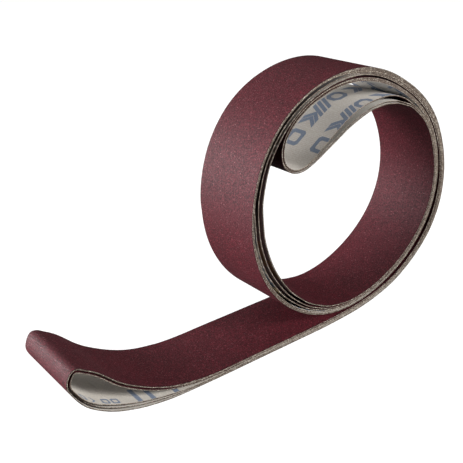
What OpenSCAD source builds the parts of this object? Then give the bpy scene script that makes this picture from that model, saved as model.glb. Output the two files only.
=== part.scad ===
// Nest of three endless abrasive belts, flattened and rolled up together.
// +X runs from the tail to the coil, +Y across the belts, +Z up from the floor.

/* [Belts] */
// Width of each belt, across the coil
belt_width = 50; // [25:1:100]
// Thickness of the cloth backing
backing_thick = 0.5; // [0.4:0.02:0.5]
// Thickness of the abrasive coat on the outside of each belt
grit_thick = 0.26; // [0.2:0.02:0.26]
// Smallest gap between neighbouring layers
layer_gap = 0.08; // [0.06:0.01:0.08]

/* [Tail] */
// Straight part of the tail that lies on the floor
tail_length = 98; // [80:1:160]

/* [Splice tape] */
// Length of the tape over each belt's joint, along the belt
tape_length = 20; // [12:1:30]
// Thickness of the tape
tape_thick = 0.1; // [0.06:0.01:0.12]

/* [Detail] */
// Largest turn between two facets of a bend, in degrees
facet_angle = 5; // [4:0.5:8]

/* [Hidden] */

OUTER = 2;
MIDDLE = 1;
INNER = 0;
belt_thick = backing_thick + grit_thick;
grit_color = [0.42, 0.20, 0.22];
backing_color = [0.72, 0.69, 0.62];
tape_color = [0.80, 0.74, 0.58];

// The coil's centre, and the tail's ends
centre = [62, 87];
tail_end = 38;
tail_start = tail_end - tail_length;
tail_z = 3 * belt_thick + 2 * layer_gap;
// Half way along the whole object
mid_x = -0.53 - (tail_length - 98) / 2;

// The inner belt's lower run along the tail:
// [position], [clock angle, slack inside the inner belt, inner to middle, middle to outer]
tail_rows = [
  [[tail_start, tail_z + 0.06], [-120, 0.1, 0, 0]],
  [[tail_start + 0.35 * tail_length, tail_z], [-110, 0, 0, 0]],
  [[tail_start + 0.7 * tail_length, tail_z], [-100, 0, 0, 0]],
  [[tail_end, tail_z + 0.26], [-90, 0, 0, 0]]
];

// The same run around the coil, one and a third turns inward: clock angle and radius where the
// coil is narrowest or widest, and once between where the bend is long
coil_shape = [
  [-75, 82.2], [-52, 85], [-25, 89.5], [25, 83.2], [60, 79.2], [95, 84], [137, 90],
  [180, 87], [240, 79.7], [290, 76], [350, 80.8], [390, 77]
];
coil_step = 15;
// Slack of each kind: clock angles where it begins, is widest and ends, and its width
slack_in_inner = [168, 215, 272, 1.7];
slack_to_middle = [150, 188, 275, 2.2];
slack_to_outer = [75, 180, 290, 2.5];
slack_on_right = [-70, -22, 22, 0.35];
coil_rows = [
  for (c = [coil_shape[0][0]:coil_step:coil_shape[len(coil_shape) - 1][0]])
    [
      centre + radius(c) * [cos(c), sin(c)],
      [
        c, spread(slack_in_inner, c) + spread(slack_on_right, c),
        spread(slack_to_middle, c) + spread(slack_on_right, c),
        spread(slack_to_outer, c) + spread(slack_on_right, c)
      ]
    ]
];

// The inner fold: x, z, slack inner to middle, middle to outer
inner_fold = [
  [111.8, 142.4, 0, 0], [99.6, 150.5, 0, 0], [77, 160.8, 0, 0], [53, 164.6, 0, 0],
  [28.4, 160.8, 0, 0], [12.6, 153.4, 0, 0], [3.3, 145.6, 0, 0], [-1.3, 138.5, 0, 0],
  [-2.7, 131.5, 0, 0], [-1, 125, 0, 0], [4.3, 120.6, 0, 0], [11.7, 119.6, 0, 0],
  [18.7, 122.3, 0.3, 0.2], [28, 128.3, 1.1, 0.4], [42, 138, 2.6, 0.5],
  [57, 146.6, 3.7, 0.6], [74, 150.6, 2.9, 0.6], [90, 150.7, 2.8, 0.6],
  [101.6, 147.2, 1.9, 0.5], [112, 140.8, 0.2, 0.2]
];

// The tail's fold: x from the tail's start, z, slack inner to middle, middle to outer
tail_fold = [
  [-13, 4.1, 0, 0], [-28, 7.2, 0, 0], [-60, 23, 0, 0.2], [-81.5, 41.3, 0, 0.1], [-87.4, 44.2, 0, 0.1], [-90.4, 38.8, 0, 0.1],
  [-87.4, 31.4, 0.1, 0.2], [-78.6, 21.8, 0.6, 0.7], [-63.4, 13.7, 1.2, 1.1],
  [-47.8, 8.5, 1.1, 1], [-30.8, 4.9, 0.7, 0.6], [-13, 2.95, 0.1, 0.1]
];

// Clock angle of the middle of each belt's splice tape, on the run nearest the centre
tape_clock = [217, 190, 203];

// Rises smoothly from 0 to 1, and stays there
function ease(t) = let (u = min(1, max(0, t))) u * u * (3 - 2 * u);
function spread(w, c) = w[3] * ease((c - w[0]) / (w[1] - w[0])) * ease((w[2] - c) / (w[2] - w[1]));
// Growth of the radius per degree, between two of the coil's points and at point k
function growth(a, b) = (b[1] - a[1]) / (b[0] - a[0]);
function growth_at(k) =
  let (last = len(coil_shape) - 1, b = coil_shape[k])
  k == 0 ? growth(b, coil_shape[1])
  : k == last ? growth(coil_shape[last - 1], b)
  : let (a = coil_shape[k - 1], c = coil_shape[k + 1])
    (growth(a, b) * (c[0] - b[0]) + growth(b, c) * (b[0] - a[0])) / (c[0] - a[0]);
// Radius at clock angle c, smooth through the coil's points
function radius(c) =
  let (
    k = max([for (i = [0:len(coil_shape) - 2]) coil_shape[i][0] <= c ? i : 0]),
    a = coil_shape[k], b = coil_shape[k + 1], h = b[0] - a[0], t = (c - a[0]) / h
  )
  a[1] * (1 - ease(t)) + b[1] * ease(t)
  + h * (growth_at(k) * t * (1 - t) * (1 - t) - growth_at(k + 1) * t * t * (1 - t));
function unit(v) = v / norm(v);
function turn(u, v) = abs(atan2(u[0] * v[1] - u[1] * v[0], u * v));
// Right-hand side of a direction of travel, which is the outside of the loop
function side(d) = [d[1], -d[0]];
// Direction at b on a smooth curve through a, b and c
function slope(a, b, c) =
  let (h0 = norm(b - a), h1 = norm(c - b))
  ((b - a) / h0 * h1 + (c - b) / h1 * h0) / (h0 + h1);

// Smooth curve through rows of [position, values] with set end directions.
// Each point is [position, outward normal, values].
function curve(rows, first, last) =
  let (
    n = len(rows),
    m = [for (k = [0:n - 1]) k == 0 ? first : k == n - 1 ? last
      : slope(rows[k - 1][0], rows[k][0], rows[k + 1][0])]
  )
  concat(
    [for (k = [0:n - 2])
      let (
        a = rows[k][0], b = rows[k + 1][0], h = norm(b - a),
        ma = m[k] * h, mb = m[k + 1] * h,
        steps = max(1, ceil((turn(ma, b - a) + turn(b - a, mb)) / facet_angle))
      )
      for (j = [0:steps - 1])
        let (
          t = j / steps, s = t * t * (3 - 2 * t),
          p = a + (b - a) * s + ma * (t - 2 * t * t + t * t * t) + mb * (t * t * t - t * t),
          d = (b - a) * 6 * t * (1 - t) + ma * (1 - 4 * t + 3 * t * t) + mb * (3 * t * t - 2 * t)
        )
        [p, side(unit(d)), rows[k][1] * (1 - s) + rows[k + 1][1] * s]
    ],
    [[rows[n - 1][0], side(last), rows[n - 1][1]]]
  );
function inner_points(list) = [for (k = [1:len(list) - 2]) list[k]];
function reversed(list) = [for (k = [len(list) - 1:-1:0]) list[k]];

// The shared route of the tail and coil
trunk_rows = concat(tail_rows, coil_rows);
trunk_n = len(trunk_rows);
fold_mouth = ([inner_fold[0][0], inner_fold[0][1]]
  + [inner_fold[19][0], inner_fold[19][1]]) / 2;
trunk_last = unit(slope(trunk_rows[trunk_n - 2][0], trunk_rows[trunk_n - 1][0], fold_mouth));
trunk = curve(trunk_rows, [1, 0], trunk_last);

// The four parts of the inner belt's inside face, as [position, outward normal, slacks]
outward_run = [for (r = trunk) [r[0], r[1], [0, 0]]];
return_run = [
  for (r = trunk) [r[0] - r[1] * (layer_gap + r[2][1]), -r[1], [r[2][2], r[2][3]]]
];
inner_rows = concat(
  [[outward_run[len(trunk) - 1][0], [0, 0]]],
  [for (r = inner_fold) [[r[0], r[1]], [r[2], r[3]]]],
  [[return_run[len(trunk) - 1][0], return_run[len(trunk) - 1][2]]]
);
tail_fold_rows = concat(
  [[return_run[0][0], return_run[0][2]]],
  [for (r = tail_fold) [[tail_start + r[0], r[1]], [r[2], r[3]]]],
  [[outward_run[0][0], [0, 0]]]
);
loop = concat(
  outward_run,
  inner_points(curve(inner_rows, trunk_last, -trunk_last)),
  reversed(return_run),
  inner_points(curve(tail_fold_rows, [-1, 0], [1, 0]))
);

// Distance of a belt's inside face from the inner belt's inside face
function depth(belt, slacks) =
  belt * (belt_thick + layer_gap) + (belt > 0 ? slacks[0] : 0) + (belt > 1 ? slacks[1] : 0);
function face(points, belt, lift) = [
  for (r = points) r[0] + r[1] * (depth(belt, r[2]) + lift) - [mid_x, 0]
];
function count(from, n) = [for (k = [0:n - 1]) from + k];

// Closed band between two lifts above a belt's inside face
module band(belt, low, high) {
  n = len(loop);
  rotate([90, 0, 0])
    linear_extrude(height = belt_width, center = true)
      polygon(
        points = concat(face(loop, belt, high), face(loop, belt, low)),
        paths = [count(0, n), count(n, n)]
      );
}

module backing(belt) {
  color(backing_color) band(belt, 0, backing_thick);
}

module grit(belt) {
  color(grit_color) band(belt, backing_thick, belt_thick);
}

// Where a point list crosses clock angle a, in the frame of the part
function at_clock(points, a) =
  let (p = face(points, 0, 0))
  [lookup(a, [for (k = [0:len(trunk) - 1]) [trunk[k][2][0], p[k][0]]]),
   lookup(a, [for (k = [0:len(trunk) - 1]) [trunk[k][2][0], p[k][1]]])];

// Tape across a belt's joint, on the inside face of the run nearest the centre
module splice_tape(belt) {
  half = tape_length / 2 / 84 * 180 / PI;
  low = tape_clock[belt] - half;
  high = tape_clock[belt] + half;
  angles = concat(
    [low],
    [for (r = trunk) if (r[2][0] > low + 0.5 && r[2][0] < high - 0.5) r[2][0]],
    [high]
  );
  top = [for (r = return_run) [r[0] + r[1] * depth(belt, r[2]), r[1], r[2]]];
  under = [for (r = top) [r[0] - r[1] * tape_thick, r[1], r[2]]];
  color(tape_color)
    rotate([90, 0, 0])
      linear_extrude(height = belt_width, center = true)
        polygon(concat(
          [for (a = angles) at_clock(top, a)],
          [for (a = reversed(angles)) at_clock(under, a)]
        ));
}

module outer_belt_grit() { grit(OUTER); }
module outer_belt_backing() { backing(OUTER); }
module outer_belt_splice_tape() { splice_tape(OUTER); }
module middle_belt_grit() { grit(MIDDLE); }
module middle_belt_backing() { backing(MIDDLE); }
module middle_belt_splice_tape() { splice_tape(MIDDLE); }
module inner_belt_grit() { grit(INNER); }
module inner_belt_backing() { backing(INNER); }
module inner_belt_splice_tape() { splice_tape(INNER); }

outer_belt_grit();
outer_belt_backing();
outer_belt_splice_tape();
middle_belt_grit();
middle_belt_backing();
middle_belt_splice_tape();
inner_belt_grit();
inner_belt_backing();
inner_belt_splice_tape();
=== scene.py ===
"""Looks of a nest of three endless abrasive belts, rolled up together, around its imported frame.

Every belt is rebuilt along the route of its own CAD node: a cloth band with cut thread ends,
an abrasive coat on its outside, printed marks on its inside and a splice tape. Metres, +Z up.
"""

import math

import bpy
import numpy as np
from mathutils import Matrix, Vector


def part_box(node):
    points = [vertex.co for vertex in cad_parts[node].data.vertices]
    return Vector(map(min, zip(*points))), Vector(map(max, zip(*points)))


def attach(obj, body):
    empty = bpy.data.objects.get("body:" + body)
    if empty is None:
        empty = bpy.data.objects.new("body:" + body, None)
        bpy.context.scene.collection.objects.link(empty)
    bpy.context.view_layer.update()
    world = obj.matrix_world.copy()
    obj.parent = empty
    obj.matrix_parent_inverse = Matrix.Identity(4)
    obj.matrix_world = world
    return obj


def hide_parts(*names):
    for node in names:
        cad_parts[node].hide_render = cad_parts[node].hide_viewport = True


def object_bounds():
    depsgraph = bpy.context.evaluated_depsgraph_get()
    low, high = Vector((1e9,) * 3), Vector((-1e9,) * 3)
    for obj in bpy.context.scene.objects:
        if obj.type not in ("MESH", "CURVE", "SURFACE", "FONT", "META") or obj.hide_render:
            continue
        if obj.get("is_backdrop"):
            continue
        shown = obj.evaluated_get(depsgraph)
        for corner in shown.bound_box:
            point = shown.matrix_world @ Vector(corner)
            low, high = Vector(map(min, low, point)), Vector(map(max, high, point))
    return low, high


MM = 0.001
BELTS = ("outer", "middle", "inner")

# Steps along a belt, and the size of its edge detail
STATION_STEP = 0.32 * MM
THREAD_PITCH = 0.78 * MM
THREAD_REACH = 0.13 * MM
# Size of a thread end as a share of that reach, and the few that are frayed
THREAD_SIZES = (0.35, 1.0)
FRAYED_SHARE = 0.04
FRAYED_SIZE = 1.7
# Heights of a thread end's middle, in turn, its half height and its wobble, as shares of the cloth
THREAD_HEIGHTS = (0.36, 0.64)
THREAD_TALL = 0.62
THREAD_WOBBLE = 0.07
# Points up a cut edge of the cloth
EDGE_ROWS = 5
COAT_RAGGED = 0.10 * MM
# How far the cloth, coat, tape and print stop short of the belt's edge
CLOTH_INSET = 0.05 * MM
COAT_INSET = 0.06 * MM
TAPE_INSET = 0.5 * MM
PRINT_INSET = 0.3 * MM
# How much the coat's outer corner is worn back
COAT_WORN = 0.05 * MM
# Tape and print stand proud of the cloth's inside face, and the print starts just under it
TAPE_THICK = 0.09 * MM
PRINT_PROUD = 0.025 * MM
PRINT_SUNK = 0.02 * MM

# Camera, at the photo's angle
CAMERA_PLACE = Vector((-0.2823, -0.3331, 0.2697))
CAMERA_AZIMUTH = 37.92
CAMERA_ELEVATION = 24.16
CAMERA_ROLL = 1.16
CAMERA_LENS = 58.59


# --------------------------------------------------------------------------------------
# Routes, from the CAD nodes
# --------------------------------------------------------------------------------------


def outlines(node):
    """The closed outlines of a band's front face, shortest first, as (x, z) rows in order."""
    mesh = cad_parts[node].data
    places = np.array([v.co for v in mesh.vertices])
    _, weld = np.unique(np.round(places, 6), axis=0, return_inverse=True)
    weld = weld.ravel()
    front = places[:, 1] < places[:, 1].min() + 1e-5
    place_of, linked = {}, {}
    for face in mesh.polygons:
        corners = list(face.vertices)
        if all(front[c] for c in corners):
            continue
        for a, b in zip(corners, corners[1:] + corners[:1]):
            if front[a] and front[b]:
                for c in (a, b):
                    place_of[weld[c]] = places[c][[0, 2]]
                linked.setdefault(weld[a], set()).add(weld[b])
                linked.setdefault(weld[b], set()).add(weld[a])
    found = []
    while linked:
        start = next(iter(linked))
        loop, here = [start], start
        while True:
            ahead = [n for n in linked[here] if n not in loop[-2:]]
            if not ahead or ahead[0] == start:
                break
            here = ahead[0]
            loop.append(here)
        for key in loop:
            del linked[key]
        found.append(np.array([place_of[key] for key in loop]))
    return sorted(found, key=around)


def around(loop):
    """Length of a closed loop."""
    return np.linalg.norm(np.roll(loop, -1, 0) - loop, axis=1).sum()


def enclosed(loop):
    """Signed area of a closed loop, positive when it runs anticlockwise."""
    x, z = loop.T
    return 0.5 * (x * np.roll(z, -1) - z * np.roll(x, -1)).sum()


class Route:
    """A belt's inside face in the XZ plane, at even steps from its point furthest out on the tail."""

    def __init__(self, belt):
        inside, outside = outlines(f"{belt}_belt_backing")
        coat_outside = outlines(f"{belt}_belt_grit")[-1]
        middle_length = (around(inside) + around(outside)) / 2
        self.cloth = abs(abs(enclosed(outside)) - abs(enclosed(inside))) / middle_length
        whole = abs(abs(enclosed(coat_outside)) - abs(enclosed(inside)))
        self.total = whole / ((around(inside) + around(coat_outside)) / 2)
        low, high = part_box(f"{belt}_belt_backing")
        self.half_width = (high.y - low.y) / 2
        if enclosed(inside) < 0:
            inside = inside[::-1]
        inside = np.roll(inside, -inside[:, 0].argmin(), axis=0)
        self.place, self.normal, self.length = self.smooth(inside)
        self.n = len(self.place)
        self.along = np.arange(self.n) * self.length / self.n

    @staticmethod
    def smooth(points):
        """Even steps along a smooth closed curve through the points, its outward normals and its length."""
        chord = np.linalg.norm(np.roll(points, -1, 0) - points, axis=1)
        before = np.roll(chord, 1)
        ahead = (np.roll(points, -1, 0) - points) / chord[:, None]
        behind = np.roll(ahead, 1, axis=0)
        slope = (behind * chord[:, None] + ahead * before[:, None]) / (chord + before)[:, None]
        fine, count = [], len(points)
        for k in range(count):
            a, b, h = points[k], points[(k + 1) % count], chord[k]
            steps = max(2, math.ceil(h / (0.5 * STATION_STEP)))
            t = (np.arange(steps) / steps)[:, None]
            s = t * t * (3 - 2 * t)
            bend = slope[k] * (t - 2 * t**2 + t**3) + slope[(k + 1) % count] * (t**3 - t**2)
            fine.append(a + (b - a) * s + bend * h)
        fine = np.concatenate(fine)
        steps = np.linalg.norm(np.roll(fine, -1, 0) - fine, axis=1)
        at = np.concatenate([[0], np.cumsum(steps)])
        closed = np.vstack([fine, fine[:1]])
        n = round(at[-1] / STATION_STEP)
        even = np.arange(n) * at[-1] / n
        place = np.stack([np.interp(even, at, closed[:, k]) for k in (0, 1)], axis=1)
        run = np.roll(place, -3, 0) - np.roll(place, 3, 0)
        run /= np.linalg.norm(run, axis=1)[:, None]
        return place, np.stack([run[:, 1], -run[:, 0]], axis=1), at[-1]

    def at(self, s, y, lift):
        """Points at distance s along the belt, y across it and lift above its inside face."""
        s, y, lift = np.broadcast_arrays(s, y, lift)
        step = self.length / self.n
        k = np.floor(s / step).astype(int) % self.n
        part = (s / step - np.floor(s / step))[..., None]
        following = (k + 1) % self.n
        place = self.place[k] * (1 - part) + self.place[following] * part
        normal = self.normal[k] * (1 - part) + self.normal[following] * part
        flat = place + normal * lift[..., None]
        return np.stack([flat[..., 0], y + self.drift(s), flat[..., 1]], axis=-1)

    def drift(self, s):
        """How far the belt wanders or is tucked in sideways at distance s."""
        turn = 2 * math.pi * s / self.length
        return sum(size * MM * np.sin(waves * turn + phase) for size, waves, phase in self.wander) + sum(
            shift * MM * self.within(s, first, last) for first, last, shift in self.tucked
        )

    def within(self, s, first, last):
        """1 between two shares of the belt's length and 0 outside, with a smooth rise between."""
        share = s / self.length
        return ease((share - first) / TUCK_EASE) * ease((last - share) / TUCK_EASE)


def ease(t):
    """0 below 0 and 1 above 1, with a smooth rise between."""
    t = np.clip(t, 0, 1)
    return t * t * (3 - 2 * t)


# Sideways wander of each belt: size in mm, waves around the belt, phase
WANDER = {
    "outer": ((0.12, 3, 0.4), (0.08, 11, 2.0)),
    "middle": ((0.24, 4, 1.9), (0.12, 13, 0.3)),
    "inner": ((0.22, 5, 4.0), (0.12, 9, 1.1)),
}
# Stretches tucked in behind the front edge: first and last share along the belt, shift in mm.
# A stretch across the belt's start is two, which run on past 0 and 1.
BEFORE_START, PAST_END = -1.0, 2.0
TUCKED = {
    "outer": (),
    "middle": ((BEFORE_START, 0.014, 1.5), (0.470, 0.530, 0.5), (0.958, PAST_END, 1.5)),
    "inner": ((0.228, 0.300, 3.0), (0.708, 0.770, 3.0)),
}
TUCK_EASE = 0.012
# Stretches where the cloth between two belts is darkened with painted shade, a near-black tone standing in
# for the shade deep in that gap: first and last share
SHADED_BETWEEN_BELTS = {
    "outer": (),
    "middle": ((0.225, 0.303), (0.705, 0.773)),
    "inner": (),
}


# --------------------------------------------------------------------------------------
# Meshes
# --------------------------------------------------------------------------------------


def mesh_object(name, points, faces, uv=None, smooth_below=50):
    """A mesh object from points and quads, with outward faces and an optional UV for each corner."""
    faces = np.asarray(faces, np.int32)
    mesh = bpy.data.meshes.new(name)
    mesh.vertices.add(len(points))
    mesh.vertices.foreach_set("co", np.asarray(points, np.float32).ravel())
    mesh.loops.add(faces.size)
    mesh.loops.foreach_set("vertex_index", faces.ravel())
    mesh.polygons.add(len(faces))
    mesh.polygons.foreach_set("loop_start", np.arange(0, faces.size, 4, dtype=np.int32))
    if uv is not None:
        layer = mesh.uv_layers.new(name="belt")
        layer.data.foreach_set("uv", np.asarray(uv, np.float32).ravel())
    mesh.update(calc_edges=True)
    mesh.validate()
    mesh.polygons.foreach_set("use_smooth", np.ones(len(mesh.polygons), bool))
    mesh.set_sharp_from_angle(angle=math.radians(smooth_below))
    obj = bpy.data.objects.new(name, mesh)
    bpy.context.scene.collection.objects.link(obj)
    return obj


def closed_band(name, route, section, reach=None, values=None):
    """A closed band around the whole route. section holds (y, lift) rows round its cross-section.

    reach(s, row) moves the row's points outward in y, and values names point attributes.
    """
    n, m = route.n, len(section)
    s = route.along[:, None]
    y = np.array([row[0] for row in section])[None, :]
    lift = np.array([row[1] for row in section])[None, :]
    pushed = np.sign(y) * (reach if reach is not None else 0)
    points = route.at(s, y + pushed, lift + 0 * s).reshape(-1, 3)
    i, j = np.meshgrid(np.arange(n), np.arange(m), indexing="ij")
    i, j = i.ravel(), j.ravel()
    ii, jj = (i + 1) % n, (j + 1) % m
    faces = np.stack([i * m + j, ii * m + j, ii * m + jj, i * m + jj], axis=1)
    girth = np.concatenate(
        [[0], np.cumsum(np.linalg.norm(np.diff(np.array(section + section[:1]), axis=0), axis=1))]
    )
    step = route.length / n
    uv = np.stack(
        [
            np.stack([i * step, girth[j]], axis=1),
            np.stack([(i + 1) * step, girth[j]], axis=1),
            np.stack([(i + 1) * step, girth[j + 1]], axis=1),
            np.stack([i * step, girth[j + 1]], axis=1),
        ],
        axis=1,
    )
    obj = mesh_object(name, points, faces, uv)
    for key, value in (values or {}).items():
        attribute = obj.data.attributes.new(key, "FLOAT", "POINT")
        attribute.data.foreach_set("value", np.asarray(value, np.float32).ravel())
    return obj


def thread_reach(route, rows, seed):
    """For each point of a cut edge: how far its thread end stands proud, how deep it lies between
    threads and how light its thread is."""
    rng = np.random.default_rng(seed)
    count = round(route.length / THREAD_PITCH)
    phase = route.along / route.length * count
    thread = np.floor(phase).astype(int) % count
    across = 2 * (phase - np.floor(phase)) - 1
    size = rng.uniform(*THREAD_SIZES, count)
    size[rng.random(count) < FRAYED_SHARE] = FRAYED_SIZE
    centre = np.where(np.arange(count) % 2 == 0, *THREAD_HEIGHTS)
    centre = centre + rng.uniform(-THREAD_WOBBLE, THREAD_WOBBLE, count)
    height = np.linspace(0, 1, rows)[None, :]
    round_off = 1 - across[:, None] ** 2 - ((height - centre[thread][:, None]) / THREAD_TALL) ** 2
    dome = np.sqrt(np.clip(round_off, 0, 1))
    light = np.repeat(rng.random(count)[thread][:, None], rows, axis=1)
    return THREAD_REACH * dome * size[thread][:, None], 1 - dome, light


def cloth(belt, route, seed):
    """The cloth backing: flat faces, and cut edges with the ends of the crosswise threads."""
    w, t = route.half_width - CLOTH_INSET, route.cloth
    lifts = np.linspace(0, t, EDGE_ROWS)
    section = [(-w, lift) for lift in lifts[::-1]] + [(w, lift) for lift in lifts]
    sides = zip(thread_reach(route, EDGE_ROWS, seed), thread_reach(route, EDGE_ROWS, seed + 1))
    reach, deep, light = (np.concatenate([front[:, ::-1], back], axis=1) for front, back in sides)
    # Painted shade: near-black on the cloth along the stretches where it lies deep between two belts
    between_belts_shade = sum((route.within(route.along, *ends) for ends in SHADED_BETWEEN_BELTS[belt]), np.zeros(route.n))
    between_belts_shade = np.repeat(between_belts_shade[:, None], len(section), axis=1)
    values = {"thread_gap_shade": deep, "thread_light": light, "between_belts_shade": between_belts_shade}
    obj = closed_band(f"{belt}_belt_cloth", route, section, reach, values)
    face_of = np.arange(len(obj.data.polygons)) % len(section)
    cut = face_of % EDGE_ROWS < EDGE_ROWS - 1
    obj.data.polygons.foreach_set("material_index", cut.astype(np.int32))
    return obj


def coat(belt, route, seed):
    """The abrasive coat on the outside of the cloth, with a slightly ragged cut."""
    rng = np.random.default_rng(seed)
    w, low, high = route.half_width - COAT_INSET, route.cloth, route.total
    section = [(-w, high), (-w, (low + high) / 2), (-w, low), (w, low), (w, (low + high) / 2), (w, high)]
    ragged = rng.uniform(-1, 0.4, (route.n, 2))
    ragged = (ragged + np.roll(ragged, 1, 0) + np.roll(ragged, 2, 0)) / 3 * COAT_RAGGED
    reach = np.stack([ragged[:, 0]] * 3 + [ragged[:, 1]] * 3, axis=1)
    reach[:, [0, 5]] -= COAT_WORN
    obj = closed_band(f"{belt}_belt_coat", route, section, reach)
    face_of = np.arange(len(obj.data.polygons)) % len(section)
    obj.data.polygons.foreach_set("material_index", (face_of % 3 < 2).astype(np.int32))
    return obj


def slab(route, corners, low, high, step=1.0 * MM):
    """Points and quads of a thin slab over a four-sided patch of the belt.

    corners holds the patch's (s, y) corners in order.
    """
    a, b, c, d = (np.array(p, float) for p in corners)
    nu = max(1, math.ceil(max(abs(b[0] - a[0]), abs(c[0] - d[0])) / step))
    nv = max(1, math.ceil(max(abs(d[0] - a[0]), abs(c[0] - b[0])) / step))
    u = np.linspace(0, 1, nu + 1)[:, None, None]
    v = np.linspace(0, 1, nv + 1)[None, :, None]
    flat = (a * (1 - u) + b * u) * (1 - v) + (d * (1 - u) + c * u) * v
    top = route.at(flat[..., 0], flat[..., 1], low)
    bottom = route.at(flat[..., 0], flat[..., 1], high)
    points = np.concatenate([top.reshape(-1, 3), bottom.reshape(-1, 3)])
    flat = np.concatenate([flat.reshape(-1, 2)] * 2)
    index = np.arange((nu + 1) * (nv + 1)).reshape(nu + 1, nv + 1)
    under = index + index.size

    def quads(g, flip):
        q = np.stack([g[:-1, :-1], g[1:, :-1], g[1:, 1:], g[:-1, 1:]], axis=-1).reshape(-1, 4)
        return q[:, ::-1] if flip else q

    faces = [quads(index, False), quads(under, True)]
    for g, h, flip in (
        (index[0], under[0], False),
        (index[-1], under[-1], True),
        (index[:, 0], under[:, 0], True),
        (index[:, -1], under[:, -1], False),
    ):
        q = np.stack([g[:-1], g[1:], h[1:], h[:-1]], axis=-1)
        faces.append(q[:, ::-1] if flip else q)
    return points, np.concatenate(faces), flat


def slabs(name, route, patches, low, high):
    """One object of several thin slabs."""
    points, faces, flats, count = [], [], [], 0
    for patch in patches:
        p, f, flat = slab(route, patch, low, high)
        points.append(p)
        faces.append(f + count)
        flats.append(flat)
        count += len(p)
    points, faces, flats = map(np.concatenate, (points, faces, flats))
    return mesh_object(name, points, faces, flats[faces])


def tape_strip(belt, route):
    """The splice film, where its CAD node lies on the belt's inside face."""
    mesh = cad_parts[f"{belt}_belt_splice_tape"].data
    corners = np.array([(v.co.x, v.co.z) for v in mesh.vertices])
    nearest = np.linalg.norm(route.place[:, None, :] - corners[None], axis=2).argmin(axis=0)
    along = route.along[nearest]
    low, high = along.min(), along.max()
    w = route.half_width - TAPE_INSET
    patch = [(low, -w), (high, -w), (high, w), (low, w)]
    return slabs(f"{belt}_belt_tape", route, [patch], -TAPE_THICK, 0.0)


# --------------------------------------------------------------------------------------
# Printed marks: generic shapes with no lettering
# --------------------------------------------------------------------------------------

MARK = 12.6 * MM
STROKE = 2.9 * MM
MARK_PITCH = 14 * MM
ROW_PITCH = 24 * MM
FIRST_ROW = 1.4 * MM
# Distance along the belt to a group of marks, and the stretch of the tail that has none
MARKS_START = 1114.4 * MM
TAIL_MARKS_END = 95 * MM
# Rows of marks across each belt, the row at the front edge being -1
MARK_ROWS = {"outer": (0, 1), "middle": (0, 1), "inner": (-1, 0, 1)}
# A short row of small marks near the belt's start, in two pairs, and the bars that follow it
SMALL_MARK = 5.2 * MM
SMALL_MARK_PITCH = 6.4 * MM
SMALL_MARK_GAP = 3 * MM
SMALL_MARKS_START = 14.5 * MM
SMALL_MARKS_ROW = -21.2 * MM
BAR_WIDTH, BAR_HEIGHT = 3.2 * MM, 16 * MM
BARS_AT = (52, 61, 77)
BARS_ROW = -19 * MM


def bar(x0, y0, x1, y1):
    return [(x0, y0), (x1, y0), (x1, y1), (x0, y1)]


def ring(size, stroke, cut=0.28):
    """An eight-sided ring, as eight patches."""
    h = size / 2
    k = h * (1 - cut)
    outer = [(k, -h), (h, -k), (h, k), (k, h), (-k, h), (-h, k), (-h, -k), (-k, -h)]
    share = (h - stroke) / h
    inner = [(x * share, y * share) for x, y in outer]
    return [
        [outer[i], outer[(i + 1) % 8], inner[(i + 1) % 8], inner[i]] for i in range(8)
    ]


def slanted_bars(size, stroke, count=3):
    """Parallel slanted strokes."""
    h, lean, gap = size / 2, size * 0.24, size * 0.32
    return [
        [(x - lean, -h), (x - lean + stroke, -h), (x + lean + stroke, h), (x + lean, h)]
        for x in (gap * (k - (count - 1) / 2) - stroke / 2 for k in range(count))
    ]


def chevron(size, stroke, x=0.0):
    h, w = size / 2, stroke * 1.25
    tip, tail = x + size * 0.22, x - size * 0.22
    return [
        [(tail, -h), (tail + w, -h), (tip + w, 0), (tip, 0)],
        [(tip, 0), (tip + w, 0), (tail + w, h), (tail, h)],
    ]


def arrow(size, stroke):
    return [bar(-size / 2, -stroke / 2, size * 0.1, stroke / 2)] + chevron(size, stroke, size * 0.12)


def marks(route, rows):
    """All marks of a belt, as (s, y) patches cut off at its edges, in the given rows across it."""
    shapes = [
        ring(MARK, STROKE),
        chevron(MARK, STROKE, -0.12 * MARK) + chevron(MARK, STROKE, 0.2 * MARK),
        slanted_bars(MARK, STROKE),
        ring(MARK, STROKE, 0.5),
        chevron(MARK, STROKE, -0.12 * MARK) + chevron(MARK, STROKE, 0.2 * MARK),
        arrow(MARK, STROKE),
    ]
    patches = []

    def put(shape, s, y):
        for patch in shape:
            cut = clip([(s + a, y + b) for a, b in patch], route.half_width - PRINT_INSET)
            patches.extend(cut)

    groups = round(route.length / (8 * MARK_PITCH))
    group = route.length / groups
    start = MARKS_START % group
    for g in range(groups):
        s0 = g * group + start
        if s0 < TAIL_MARKS_END or s0 + 6 * MARK_PITCH > route.length:
            continue
        for row in rows:
            for k, shape in enumerate(shapes):
                put(shape, s0 + (k + 0.5) * MARK_PITCH, FIRST_ROW + row * ROW_PITCH)
    if -1 not in rows:
        return patches
    small = [ring(SMALL_MARK, 1.2 * MM), chevron(SMALL_MARK, 1.1 * MM), ring(SMALL_MARK, 1.2 * MM)]
    for k in range(4):
        gap = SMALL_MARK_GAP if k > 1 else 0
        put(small[k % 3], SMALL_MARKS_START + k * SMALL_MARK_PITCH + gap, SMALL_MARKS_ROW)
    half_wide, half_tall = BAR_WIDTH / 2, BAR_HEIGHT / 2
    for s in BARS_AT:
        put([bar(-half_wide, -half_tall, half_wide, half_tall)], s * MM, BARS_ROW)
    return patches


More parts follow.
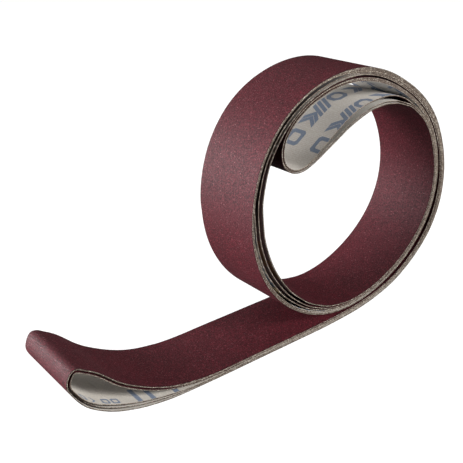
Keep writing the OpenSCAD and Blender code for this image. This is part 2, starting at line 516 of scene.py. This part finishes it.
def clip(patch, edge):
    """A four-sided patch without what lies past y = -edge or edge, as four-sided patches."""
    points = [np.array(p, float) for p in patch]
    for side in (-1, 1):
        kept = []
        for a, b in zip(points, points[1:] + points[:1]):
            a_in, b_in = side * a[1] <= edge, side * b[1] <= edge
            if a_in:
                kept.append(a)
            if a_in != b_in:
                t = (side * edge - a[1]) / (b[1] - a[1])
                kept.append(a + (b - a) * t)
        points = kept
        if len(points) < 3:
            return []
    if len(points) == 3:
        points.append(points[-1])
    fan = [points[0], points[1], points[2], points[3]]
    rest = [[points[0], points[k], points[k + 1], points[k + 1]] for k in range(3, len(points) - 1)]
    return [q for q in [fan] + rest if patch_area(q) > (0.2 * MM) ** 2]


def patch_area(points):
    x, y = np.array(points).T
    return abs(0.5 * (x * np.roll(y, -1) - y * np.roll(x, -1)).sum())


# --------------------------------------------------------------------------------------
# Materials
# --------------------------------------------------------------------------------------


class Nodes:
    """Small helper to build a material's node tree."""

    def __init__(self, name):
        self.material = bpy.data.materials.new(name)
        self.material.use_nodes = True
        self.tree = self.material.node_tree
        self.shader = self.tree.nodes["Principled BSDF"]

    def link(self, a, b):
        self.tree.links.new(a, b)

    def new(self, kind, **settings):
        node = self.tree.nodes.new(kind)
        for key, value in settings.items():
            setattr(node, key, value)
        return node

    def place(self, uv=None):
        """Object coordinates, or the named UV map."""
        if uv:
            source = self.new("ShaderNodeUVMap", uv_map=uv).outputs[0]
        else:
            source = self.new("ShaderNodeTexCoord").outputs["Object"]
        mapping = self.new("ShaderNodeMapping")
        self.link(source, mapping.inputs["Vector"])
        return mapping.outputs[0]

    def noise(self, vector, scale, detail=3.0, rough=0.55):
        node = self.new("ShaderNodeTexNoise")
        self.link(vector, node.inputs["Vector"])
        node.inputs["Scale"].default_value = scale
        node.inputs["Detail"].default_value = detail
        node.inputs["Roughness"].default_value = rough
        return node.outputs["Fac"]

    def cells(self, vector, scale, out="Distance"):
        node = self.new("ShaderNodeTexVoronoi", feature="F1")
        self.link(vector, node.inputs["Vector"])
        node.inputs["Scale"].default_value = scale
        return node.outputs[out]

    def ramp(self, value, *stops):
        """Colour or grey steps: each stop is (position, grey or (r, g, b))."""
        node = self.new("ShaderNodeValToRGB")
        elements = node.color_ramp.elements
        while len(elements) < len(stops):
            elements.new(0.5)
        for element, (position, colour) in zip(elements, stops):
            element.position = position
            if isinstance(colour, (int, float)):
                colour = (colour,) * 3
            element.color = (*colour, 1)
        self.link(value, node.inputs[0])
        return node.outputs[0]

    def mix(self, share, a, b, kind="MIX"):
        node = self.new("ShaderNodeMix", data_type="RGBA", blend_type=kind)
        for socket, value in ((0, share), (6, a), (7, b)):
            if hasattr(value, "links"):
                self.link(value, node.inputs[socket])
            elif isinstance(value, (int, float)):
                node.inputs[socket].default_value = value
            else:
                node.inputs[socket].default_value = (*value, 1)
        return node.outputs[2]

    def math(self, kind, a, b):
        node = self.new("ShaderNodeMath", operation=kind)
        for socket, value in enumerate((a, b)):
            if hasattr(value, "links"):
                self.link(value, node.inputs[socket])
            else:
                node.inputs[socket].default_value = value
        return node.outputs[0]

    def bump(self, height, strength, distance, under=None):
        node = self.new("ShaderNodeBump")
        node.inputs["Strength"].default_value = strength
        node.inputs["Distance"].default_value = distance
        self.link(height, node.inputs["Height"])
        if under:
            self.link(under, node.inputs["Normal"])
        return node.outputs[0]

    def attribute(self, name):
        return self.new("ShaderNodeAttribute", attribute_name=name).outputs["Fac"]


GRAIN_PER_M = 1 / (0.42 * MM)


def abrasive_material():
    """Maroon aluminium oxide grain in resin: faceted grains, sparkle and faint mottling."""
    n = Nodes("belt_abrasive")
    at = n.place()
    grain = n.cells(at, GRAIN_PER_M)
    grain_tone = n.cells(at, GRAIN_PER_M, out="Color")
    coarse = n.noise(at, 1 / (0.9 * MM), 4.0, 0.7)
    mottle = n.noise(at, 1 / (14 * MM), 3.0, 0.5)
    tone = n.ramp(
        grain_tone,
        (0.0, (0.018, 0.0009, 0.0024)),
        (0.5, (0.032, 0.0019, 0.0046)),
        (0.85, (0.053, 0.0075, 0.011)),
        (1.0, (0.11, 0.045, 0.050)),
    )
    speckle = n.ramp(coarse, (0.32, 0.24), (0.50, 0.88), (0.70, 2.1))
    tone = n.mix(1.0, tone, speckle, "MULTIPLY")
    patch = n.ramp(mottle, (0.3, 0.90), (0.7, 1.08))
    tone = n.mix(1.0, tone, patch, "MULTIPLY")
    n.link(tone, n.shader.inputs["Base Color"])
    rough = n.ramp(grain_tone, (0.0, 0.75), (0.85, 0.6), (1.0, 0.32))
    n.link(rough, n.shader.inputs["Roughness"])
    n.shader.inputs["Specular IOR Level"].default_value = 0.14
    under = n.bump(coarse, 0.5, 0.12 * MM)
    n.link(n.bump(grain, 0.75, 0.10 * MM, under), n.shader.inputs["Normal"])
    return n.material


def twill(n):
    """Diagonal twill height from the belt's own flat coordinates."""
    lines = n.new("ShaderNodeTexWave", wave_type="BANDS", bands_direction="DIAGONAL")
    lines.inputs["Scale"].default_value = 1 / (1.35 * MM) / 3.0
    lines.inputs["Distortion"].default_value = 0.8
    lines.inputs["Detail"].default_value = 2.0
    lines.inputs["Detail Scale"].default_value = 3.0
    n.link(n.place(uv="belt"), lines.inputs["Vector"])
    return lines.outputs["Fac"]


def cloth_material():
    """Sized cotton twill, warm grey."""
    n = Nodes("belt_cloth")
    at = n.place()
    fibre = n.noise(at, 1 / (0.8 * MM), 4.0, 0.65)
    stain = n.noise(at, 1 / (22 * MM), 3.0, 0.5)
    lines = twill(n)
    tone = n.ramp(
        fibre,
        (0.25, (0.30, 0.278, 0.25)),
        (0.55, (0.385, 0.358, 0.325)),
        (0.8, (0.47, 0.44, 0.40)),
    )
    tone = n.mix(1.0, tone, n.ramp(stain, (0.3, 0.93), (0.7, 1.05)), "MULTIPLY")
    tone = n.mix(0.35, tone, n.ramp(lines, (0.2, 0.82), (0.8, 1.06)), "MULTIPLY")
    # Painted shade: the cloth runs to near black where it lies deep between two belts
    tone = n.mix(n.attribute("between_belts_shade"), tone, (0.015, 0.008, 0.008))
    n.link(tone, n.shader.inputs["Base Color"])
    n.shader.inputs["Roughness"].default_value = 0.86
    n.shader.inputs["Specular IOR Level"].default_value = 0.25
    n.shader.inputs["Sheen Weight"].default_value = 0.08
    under = n.bump(fibre, 0.35, 0.08 * MM)
    n.link(n.bump(lines, 0.30, 0.06 * MM, under), n.shader.inputs["Normal"])
    return n.material


def cut_material():
    """The cloth's cut edge: tan thread ends, with painted shade darkening the gaps between them."""
    n = Nodes("belt_cloth_cut")
    fibre = n.noise(n.place(), 1 / (0.5 * MM), 3.0, 0.6)
    by_thread = n.math("MULTIPLY", n.attribute("thread_light"), 0.7)
    light = n.math("ADD", by_thread, n.math("MULTIPLY", fibre, 0.3))
    thread = n.ramp(
        light,
        (0.2, (0.11, 0.083, 0.064)),
        (0.6, (0.21, 0.17, 0.135)),
        (0.85, (0.45, 0.41, 0.35)),
    )
    # Painted shade: the thread colour runs to near black where the edge lies deep between thread ends
    tone = n.mix(n.attribute("thread_gap_shade"), thread, (0.026, 0.018, 0.015))
    n.link(tone, n.shader.inputs["Base Color"])
    n.shader.inputs["Roughness"].default_value = 0.9
    n.shader.inputs["Specular IOR Level"].default_value = 0.2
    n.link(n.bump(fibre, 0.4, 0.06 * MM), n.shader.inputs["Normal"])
    return n.material


def coat_cut_material():
    """The coat's cut edge: dark broken resin with a few lighter grains."""
    n = Nodes("belt_coat_cut")
    grain = n.cells(n.place(), GRAIN_PER_M, out="Color")
    tone = n.ramp(
        grain,
        (0.0, (0.008, 0.0045, 0.0045)),
        (0.8, (0.020, 0.009, 0.009)),
        (1.0, (0.075, 0.045, 0.042)),
    )
    n.link(tone, n.shader.inputs["Base Color"])
    n.shader.inputs["Roughness"].default_value = 0.8
    n.shader.inputs["Specular IOR Level"].default_value = 0.15
    return n.material


def print_material():
    """Blue-grey ink, thinner where the cloth's threads stand up."""
    n = Nodes("belt_ink")
    at = n.place()
    wear = n.noise(at, 1 / (0.9 * MM), 4.0, 0.7)
    tone = n.ramp(
        wear,
        (0.30, (0.10, 0.125, 0.175)),
        (0.62, (0.145, 0.172, 0.228)),
        (0.82, (0.29, 0.29, 0.29)),
    )
    n.link(tone, n.shader.inputs["Base Color"])
    n.shader.inputs["Roughness"].default_value = 0.8
    n.shader.inputs["Specular IOR Level"].default_value = 0.25
    n.link(n.bump(wear, 0.35, 0.08 * MM), n.shader.inputs["Normal"])
    return n.material


def tape_material():
    """Thin tan splice film with faint wrinkles."""
    n = Nodes("belt_film")
    at = n.place()
    crease = n.noise(at, 1 / (3 * MM), 3.0, 0.6)
    tone = n.ramp(crease, (0.3, (0.40, 0.31, 0.17)), (0.7, (0.55, 0.45, 0.28)))
    n.link(tone, n.shader.inputs["Base Color"])
    n.link(n.ramp(crease, (0.3, 0.25), (0.7, 0.42)), n.shader.inputs["Roughness"])
    n.link(n.bump(crease, 0.4, 0.05 * MM), n.shader.inputs["Normal"])
    return n.material


# --------------------------------------------------------------------------------------
# Stage
# --------------------------------------------------------------------------------------


def camera():
    """The camera, at the photo's angle."""
    az, el, roll = (math.radians(a) for a in (CAMERA_AZIMUTH, CAMERA_ELEVATION, CAMERA_ROLL))
    forward = Vector((math.sin(az) * math.cos(el), math.cos(az) * math.cos(el), -math.sin(el)))
    right = Vector((math.cos(az), -math.sin(az), 0))
    up = right.cross(forward)
    turned = right * math.cos(roll) - up * math.sin(roll)
    axes = Matrix((turned, forward.cross(turned) * -1, -forward)).transposed()
    data = bpy.data.cameras.new("camera")
    data.sensor_width = 36
    data.lens = CAMERA_LENS
    data.clip_start, data.clip_end = 0.01, 20
    obj = bpy.data.objects.new("camera", data)
    obj.matrix_world = Matrix.Translation(CAMERA_PLACE) @ axes.to_4x4()
    bpy.context.scene.collection.objects.link(obj)
    bpy.context.scene.camera = obj


def soft_light(name, azimuth, elevation, size, power, colour):
    """An area light aimed at the object's middle. Azimuth 0 stands in front (-Y), 90 at +X."""
    low, high = cad_box
    middle = (Vector(low) + Vector(high)) / 2
    az, el = math.radians(azimuth), math.radians(elevation)
    way = Vector((math.sin(az) * math.cos(el), -math.cos(az) * math.cos(el), math.sin(el)))
    data = bpy.data.lights.new(name, "AREA")
    data.shape = "RECTANGLE"
    data.size, data.size_y = size if isinstance(size, tuple) else (size, size)
    data.energy = power
    data.color = colour
    obj = bpy.data.objects.new(name, data)
    obj.location = middle + way * LIGHT_DISTANCE
    obj.rotation_mode = "QUATERNION"
    obj.rotation_quaternion = (-way).to_track_quat("-Z", "Y")
    bpy.context.scene.collection.objects.link(obj)


WORLD_LIGHT = 0.01
FLOOR_GLOW = 1.0
FLOOR_GREY = 0.08
FLOOR_SIZE = 6.0
FLOOR_BELOW = 0.05 * MM


def surroundings():
    """A white studio that lights the object only faintly."""
    world = bpy.data.worlds.new("studio")
    world.use_nodes = True
    bpy.context.scene.world = world
    tree = world.node_tree
    background = tree.nodes["Background"]
    seen = tree.nodes.new("ShaderNodeLightPath")
    strength = tree.nodes.new("ShaderNodeMapRange")
    tree.links.new(seen.outputs["Is Camera Ray"], strength.inputs["Value"])
    strength.inputs["To Min"].default_value = WORLD_LIGHT
    strength.inputs["To Max"].default_value = 1.0
    tree.links.new(strength.outputs[0], background.inputs["Strength"])
    background.inputs["Color"].default_value = (1, 1, 1, 1)


def floor():
    """A floor that looks white to the camera and throws little light back at the object."""
    half = FLOOR_SIZE / 2
    points = [(-half, -half, 0), (half, -half, 0), (half, half, 0), (-half, half, 0)]
    obj = mesh_object("floor", points, [[0, 1, 2, 3]])
    obj.location.z = -FLOOR_BELOW
    material = bpy.data.materials.new("pale_floor")
    material.use_nodes = True
    tree = material.node_tree
    shader = tree.nodes["Principled BSDF"]
    shader.inputs["Base Color"].default_value = (*[FLOOR_GREY] * 3, 1)
    shader.inputs["Roughness"].default_value = 0.9
    shader.inputs["Specular IOR Level"].default_value = 0.1
    glow = tree.nodes.new("ShaderNodeEmission")
    seen = tree.nodes.new("ShaderNodeLightPath")
    strength = tree.nodes.new("ShaderNodeMath")
    strength.operation = "MULTIPLY"
    strength.inputs[1].default_value = FLOOR_GLOW
    tree.links.new(seen.outputs["Is Camera Ray"], strength.inputs[0])
    tree.links.new(strength.outputs[0], glow.inputs["Strength"])
    added = tree.nodes.new("ShaderNodeAddShader")
    tree.links.new(shader.outputs[0], added.inputs[0])
    tree.links.new(glow.outputs[0], added.inputs[1])
    tree.links.new(added.outputs[0], tree.nodes["Material Output"].inputs["Surface"])
    obj.data.materials.append(material)
    obj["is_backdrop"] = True


LIGHT_DISTANCE = 1.3
WHITE = (1.0, 1.0, 1.0)
LIGHTS = (
    # name, azimuth, elevation, size, power, colour
    ("key", 27, 23, 0.5, 38, (1.0, 0.99, 0.97)),
    ("left_back", 210, 4, 0.5, 27, WHITE),
    ("left", 255, 14, 0.5, 52, WHITE),
    ("back", 180, 11, (1.0, 0.7), 4.4, WHITE),
    ("back_high", 180, 44, (1.4, 0.75), 2.2, WHITE),
    ("top", 180, 68, (1.2, 0.9), 4.0, WHITE),
)


# --------------------------------------------------------------------------------------
# Build
# --------------------------------------------------------------------------------------

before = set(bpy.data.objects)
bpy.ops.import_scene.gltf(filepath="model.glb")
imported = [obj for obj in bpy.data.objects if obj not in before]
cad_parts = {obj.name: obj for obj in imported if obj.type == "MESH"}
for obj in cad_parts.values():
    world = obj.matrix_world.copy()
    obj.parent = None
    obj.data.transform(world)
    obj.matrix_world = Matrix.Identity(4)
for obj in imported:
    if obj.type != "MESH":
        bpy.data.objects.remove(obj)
cad_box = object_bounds()

abrasive, coat_cut = abrasive_material(), coat_cut_material()
cotton, cotton_cut = cloth_material(), cut_material()
ink, film = print_material(), tape_material()

for index, belt in enumerate(BELTS):
    route = Route(belt)
    route.wander, route.tucked = WANDER[belt], TUCKED[belt]
    body = f"{belt}_belt"
    band = cloth(belt, route, 10 * index + 1)
    grit = coat(belt, route, 10 * index + 5)
    shapes = marks(route, MARK_ROWS[belt])
    print_ = slabs(f"{belt}_belt_print", route, shapes, -PRINT_PROUD, PRINT_SUNK)
    tape = tape_strip(belt, route)
    for obj, materials, slot in (
        (band, (cotton, cotton_cut), "cotton_backing"),
        (grit, (abrasive, coat_cut), "abrasive_coat"),
        (print_, (ink,), "cotton_backing"),
        (tape, (film,), "splice_film"),
    ):
        for material in materials:
            obj.data.materials.append(material)
        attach(obj, body)
    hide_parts(f"{belt}_belt_backing")
    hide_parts(f"{belt}_belt_grit")
    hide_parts(f"{belt}_belt_splice_tape")

camera()
surroundings()
floor()
for light in LIGHTS:
    soft_light(*light)
bpy.context.scene.view_settings.view_transform = "Standard"
